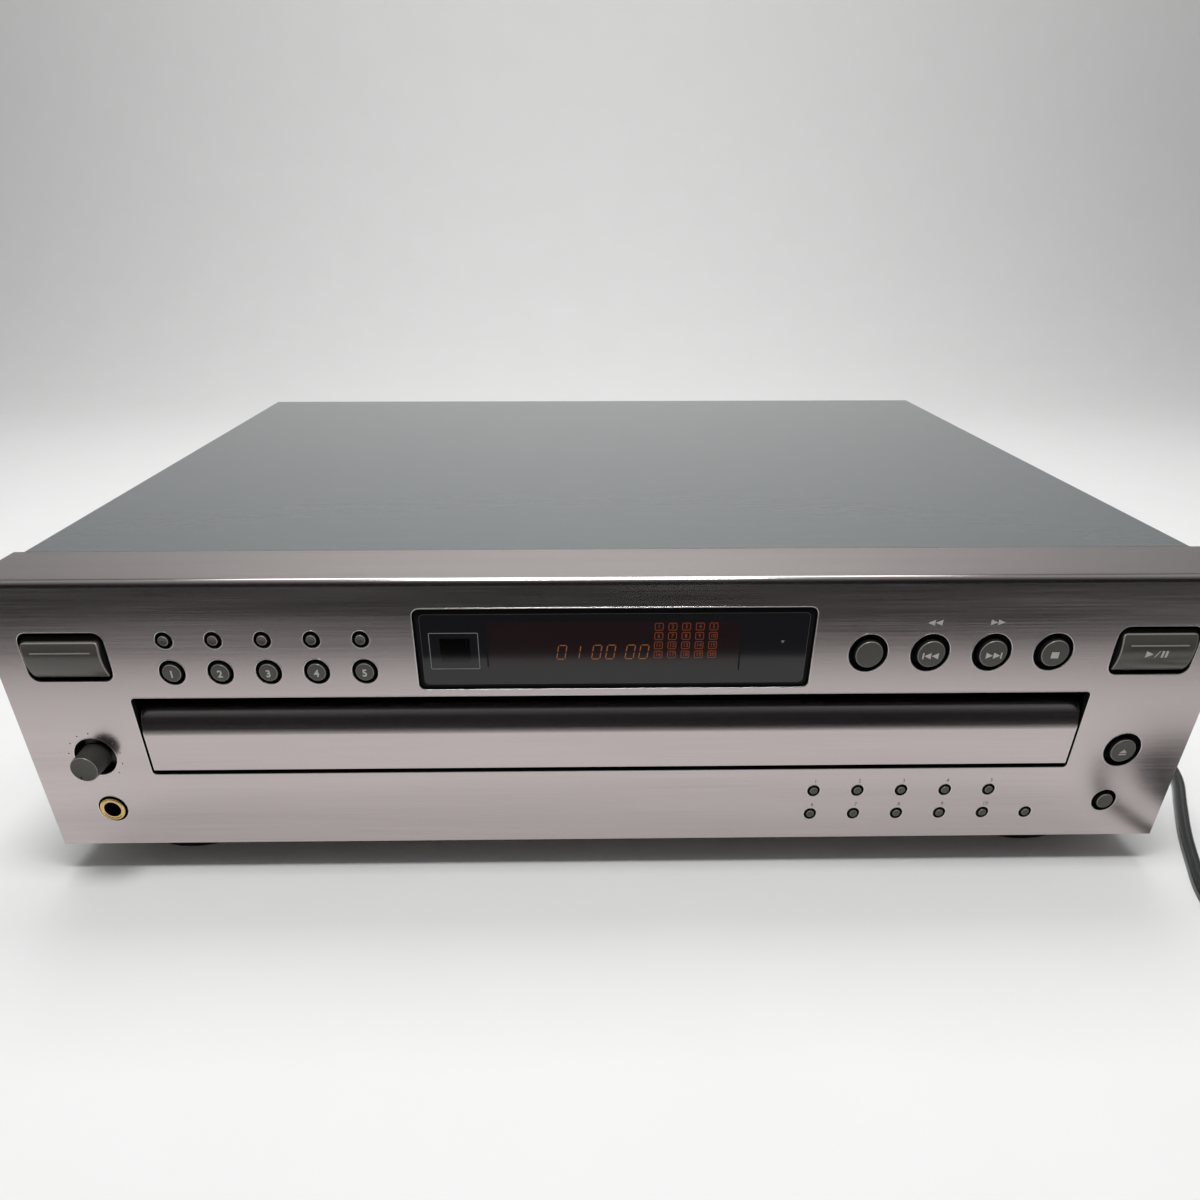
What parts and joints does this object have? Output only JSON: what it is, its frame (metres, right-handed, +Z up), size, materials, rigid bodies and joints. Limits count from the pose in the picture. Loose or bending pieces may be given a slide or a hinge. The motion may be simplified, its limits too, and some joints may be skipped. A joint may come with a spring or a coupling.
{
  "type": "disc changer",
  "caption": "Full-width hi-fi disc changer with a front drawer, a toothed carousel, a tipping disc deck, display window, working keys, level knob, phones jack and flat mains lead.",
  "frame": {"origin": "middle of the case's outline, on the surface that the feet stand on", "axes": "+X to the right as seen from the front, +Y from the front to the back, +Z up"},
  "size_m": [0.565, 0.5569, 0.1173],
  "materials": {
    "titanium_panel": "brushed along its length, champagne grey",
    "key_plastic": "satin, warm dark grey",
    "smoked_window": "polished, smoked black",
    "circuit_board": "green lacquer",
    "jack_brass": "plated",
    "cover_paint": "satin grey",
    "pan_steel": "zinc plated sheet",
    "rear_paint": "satin grey",
    "foot_plastic": "moulded black",
    "screw_black": "blackened",
    "core_iron": "varnished laminations",
    "socket_nickel": "nickel plated",
    "cord_rubber": "satin dark grey",
    "loader_plastic": "moulded dark grey",
    "gear_plastic": "natural off-white",
    "motor_steel": "plated can",
    "deck_steel": "grey"
  },
  "bodies": {
    "chassis": {"front_panel": "titanium_panel", "display_window": "smoked_window", "front_board": "circuit_board", "phones_jack": "jack_brass", "top_cover": "cover_paint", "chassis_pan": "pan_steel", "rear_panel": "rear_paint", "feet": "foot_plastic", "case_screws": "screw_black", "main_board": "circuit_board", "transformer": "core_iron", "line_sockets": "socket_nickel", "cord_grip": "cord_rubber", "power_cord": "cord_rubber", "cord_coil": "cord_rubber", "mains_plug": "cord_rubber", "loader_frame": "loader_plastic", "loading_motor": "motor_steel", "clamper_bridge": "pan_steel"},
    "drawer": {"tray": "loader_plastic", "drawer_front": "titanium_panel", "carousel_motor": "motor_steel"},
    "carousel": {"carousel": "loader_plastic"},
    "carousel_pinion": {"carousel_pinion": "gear_plastic"},
    "drive_gear": {"drive_gear": "gear_plastic"},
    "motor_pinion": {"motor_pinion": "gear_plastic"},
    "traverse": {"traverse_base": "deck_steel"},
    "spindle": {"spindle_platter": "loader_plastic"},
    "pickup": {"pickup": "loader_plastic"},
    "clamper": {"clamper": "loader_plastic"},
    "level_knob": {"level_knob": "key_plastic"},
    "power_key": {"power_key": "key_plastic"},
    "play_key": {"play_key": "key_plastic"},
    "disc_key_1": {"disc_key_1": "key_plastic"},
    "disc_key_2": {"disc_key_2": "key_plastic"},
    "disc_key_3": {"disc_key_3": "key_plastic"},
    "disc_key_4": {"disc_key_4": "key_plastic"},
    "disc_key_5": {"disc_key_5": "key_plastic"},
    "mode_key_1": {"mode_key_1": "key_plastic"},
    "mode_key_2": {"mode_key_2": "key_plastic"},
    "mode_key_3": {"mode_key_3": "key_plastic"},
    "mode_key_4": {"mode_key_4": "key_plastic"},
    "mode_key_5": {"mode_key_5": "key_plastic"},
    "skip_key": {"skip_key": "key_plastic"},
    "search_back_key": {"search_back_key": "key_plastic"},
    "search_forward_key": {"search_forward_key": "key_plastic"},
    "stop_key": {"stop_key": "key_plastic"},
    "open_close_key": {"open_close_key": "key_plastic"},
    "time_key": {"time_key": "key_plastic"},
    "track_key_1": {"track_key_1": "key_plastic"},
    "track_key_2": {"track_key_2": "key_plastic"},
    "track_key_3": {"track_key_3": "key_plastic"},
    "track_key_4": {"track_key_4": "key_plastic"},
    "track_key_5": {"track_key_5": "key_plastic"},
    "track_key_6": {"track_key_6": "key_plastic"},
    "track_key_7": {"track_key_7": "key_plastic"},
    "track_key_8": {"track_key_8": "key_plastic"},
    "track_key_9": {"track_key_9": "key_plastic"},
    "track_key_10": {"track_key_10": "key_plastic"},
    "track_key_11": {"track_key_11": "key_plastic"}
  },
  "joints": [
    {"name": "drawer_slide", "type": "slide", "parent": "chassis", "child": "drawer", "axis": [0, -1, 0], "range_m": [0, 0.235]},
    {"name": "carousel_turn", "type": "hinge", "parent": "drawer", "child": "carousel", "pos_m": [0, -0.017, 0.056], "axis": [0, 0, 1], "continuous": true},
    {"name": "traverse_lift", "type": "hinge", "parent": "chassis", "child": "traverse", "pos_m": [0, 0.162, 0.0491], "axis": [-1, 0, 0], "range_deg": [0, 11.5]},
    {"name": "pickup_slide", "type": "slide", "parent": "traverse", "child": "pickup", "axis": [0, -0.9799, -0.1994], "range_m": [0, 0.032]},
    {"name": "spindle_turn", "type": "hinge", "parent": "traverse", "child": "spindle", "pos_m": [0, 0.08793, 0.03699], "axis": [0, -0.1994, 0.9799], "continuous": true},
    {"name": "clamper_lift", "type": "slide", "parent": "chassis", "child": "clamper", "axis": [0, 0, 1], "range_m": [0, 0.0015]},
    {"name": "level_turn", "type": "hinge", "parent": "chassis", "child": "level_knob", "pos_m": [-0.1936, -0.19, 0.051], "axis": [0, 1, 0], "range_deg": [0, 300]},
    {"name": "carousel_pinion_turn", "type": "hinge", "parent": "drawer", "child": "carousel_pinion", "pos_m": [0, -0.062, 0.054], "axis": [0, 0, 1], "continuous": true},
    {"name": "drive_gear_turn", "type": "hinge", "parent": "chassis", "child": "drive_gear", "pos_m": [0.12, -0.15, 0.045], "axis": [0, 0, 1], "continuous": true},
    {"name": "motor_pinion_turn", "type": "hinge", "parent": "chassis", "child": "motor_pinion", "pos_m": [0.0976, -0.15, 0.042], "axis": [0, 0, 1], "continuous": true},
    {"name": "power_press", "type": "slide", "parent": "chassis", "child": "power_key", "axis": [0, 1, 0], "range_m": [0, 0.0008], "stiffness_N_per_m": 500},
    {"name": "play_press", "type": "slide", "parent": "chassis", "child": "play_key", "axis": [0, 1, 0], "range_m": [0, 0.0008], "stiffness_N_per_m": 500},
    {"name": "disc_1_press", "type": "slide", "parent": "chassis", "child": "disc_key_1", "axis": [0, 1, 0], "range_m": [0, 0.0008], "stiffness_N_per_m": 500},
    {"name": "disc_2_press", "type": "slide", "parent": "chassis", "child": "disc_key_2", "axis": [0, 1, 0], "range_m": [0, 0.0008], "stiffness_N_per_m": 500},
    {"name": "disc_3_press", "type": "slide", "parent": "chassis", "child": "disc_key_3", "axis": [0, 1, 0], "range_m": [0, 0.0008], "stiffness_N_per_m": 500},
    {"name": "disc_4_press", "type": "slide", "parent": "chassis", "child": "disc_key_4", "axis": [0, 1, 0], "range_m": [0, 0.0008], "stiffness_N_per_m": 500},
    {"name": "disc_5_press", "type": "slide", "parent": "chassis", "child": "disc_key_5", "axis": [0, 1, 0], "range_m": [0, 0.0008], "stiffness_N_per_m": 500},
    {"name": "mode_1_press", "type": "slide", "parent": "chassis", "child": "mode_key_1", "axis": [0, 1, 0], "range_m": [0, 0.0008], "stiffness_N_per_m": 500},
    {"name": "mode_2_press", "type": "slide", "parent": "chassis", "child": "mode_key_2", "axis": [0, 1, 0], "range_m": [0, 0.0008], "stiffness_N_per_m": 500},
    {"name": "mode_3_press", "type": "slide", "parent": "chassis", "child": "mode_key_3", "axis": [0, 1, 0], "range_m": [0, 0.0008], "stiffness_N_per_m": 500},
    {"name": "mode_4_press", "type": "slide", "parent": "chassis", "child": "mode_key_4", "axis": [0, 1, 0], "range_m": [0, 0.0008], "stiffness_N_per_m": 500},
    {"name": "mode_5_press", "type": "slide", "parent": "chassis", "child": "mode_key_5", "axis": [0, 1, 0], "range_m": [0, 0.0008], "stiffness_N_per_m": 500},
    {"name": "skip_press", "type": "slide", "parent": "chassis", "child": "skip_key", "axis": [0, 1, 0], "range_m": [0, 0.0008], "stiffness_N_per_m": 500},
    {"name": "search_back_press", "type": "slide", "parent": "chassis", "child": "search_back_key", "axis": [0, 1, 0], "range_m": [0, 0.0008], "stiffness_N_per_m": 500},
    {"name": "search_forward_press", "type": "slide", "parent": "chassis", "child": "search_forward_key", "axis": [0, 1, 0], "range_m": [0, 0.0008], "stiffness_N_per_m": 500},
    {"name": "stop_press", "type": "slide", "parent": "chassis", "child": "stop_key", "axis": [0, 1, 0], "range_m": [0, 0.0008], "stiffness_N_per_m": 500},
    {"name": "open_close_press", "type": "slide", "parent": "chassis", "child": "open_close_key", "axis": [0, 1, 0], "range_m": [0, 0.0008], "stiffness_N_per_m": 500},
    {"name": "time_press", "type": "slide", "parent": "chassis", "child": "time_key", "axis": [0, 1, 0], "range_m": [0, 0.0008], "stiffness_N_per_m": 500},
    {"name": "track_1_press", "type": "slide", "parent": "chassis", "child": "track_key_1", "axis": [0, 1, 0], "range_m": [0, 0.0008], "stiffness_N_per_m": 500},
    {"name": "track_2_press", "type": "slide", "parent": "chassis", "child": "track_key_2", "axis": [0, 1, 0], "range_m": [0, 0.0008], "stiffness_N_per_m": 500},
    {"name": "track_3_press", "type": "slide", "parent": "chassis", "child": "track_key_3", "axis": [0, 1, 0], "range_m": [0, 0.0008], "stiffness_N_per_m": 500},
    {"name": "track_4_press", "type": "slide", "parent": "chassis", "child": "track_key_4", "axis": [0, 1, 0], "range_m": [0, 0.0008], "stiffness_N_per_m": 500},
    {"name": "track_5_press", "type": "slide", "parent": "chassis", "child": "track_key_5", "axis": [0, 1, 0], "range_m": [0, 0.0008], "stiffness_N_per_m": 500},
    {"name": "track_6_press", "type": "slide", "parent": "chassis", "child": "track_key_6", "axis": [0, 1, 0], "range_m": [0, 0.0008], "stiffness_N_per_m": 500},
    {"name": "track_7_press", "type": "slide", "parent": "chassis", "child": "track_key_7", "axis": [0, 1, 0], "range_m": [0, 0.0008], "stiffness_N_per_m": 500},
    {"name": "track_8_press", "type": "slide", "parent": "chassis", "child": "track_key_8", "axis": [0, 1, 0], "range_m": [0, 0.0008], "stiffness_N_per_m": 500},
    {"name": "track_9_press", "type": "slide", "parent": "chassis", "child": "track_key_9", "axis": [0, 1, 0], "range_m": [0, 0.0008], "stiffness_N_per_m": 500},
    {"name": "track_10_press", "type": "slide", "parent": "chassis", "child": "track_key_10", "axis": [0, 1, 0], "range_m": [0, 0.0008], "stiffness_N_per_m": 500},
    {"name": "track_11_press", "type": "slide", "parent": "chassis", "child": "track_key_11", "axis": [0, 1, 0], "range_m": [0, 0.0008], "stiffness_N_per_m": 500}
  ],
  "couplings": [
    {"joint": "carousel_pinion_turn", "follows": "carousel_turn", "ratio": -4},
    {"joint": "drive_gear_turn", "follows": "drawer_slide", "rad_per_m": -83.333},
    {"joint": "motor_pinion_turn", "follows": "drawer_slide", "rad_per_m": 305.56}
  ]
}
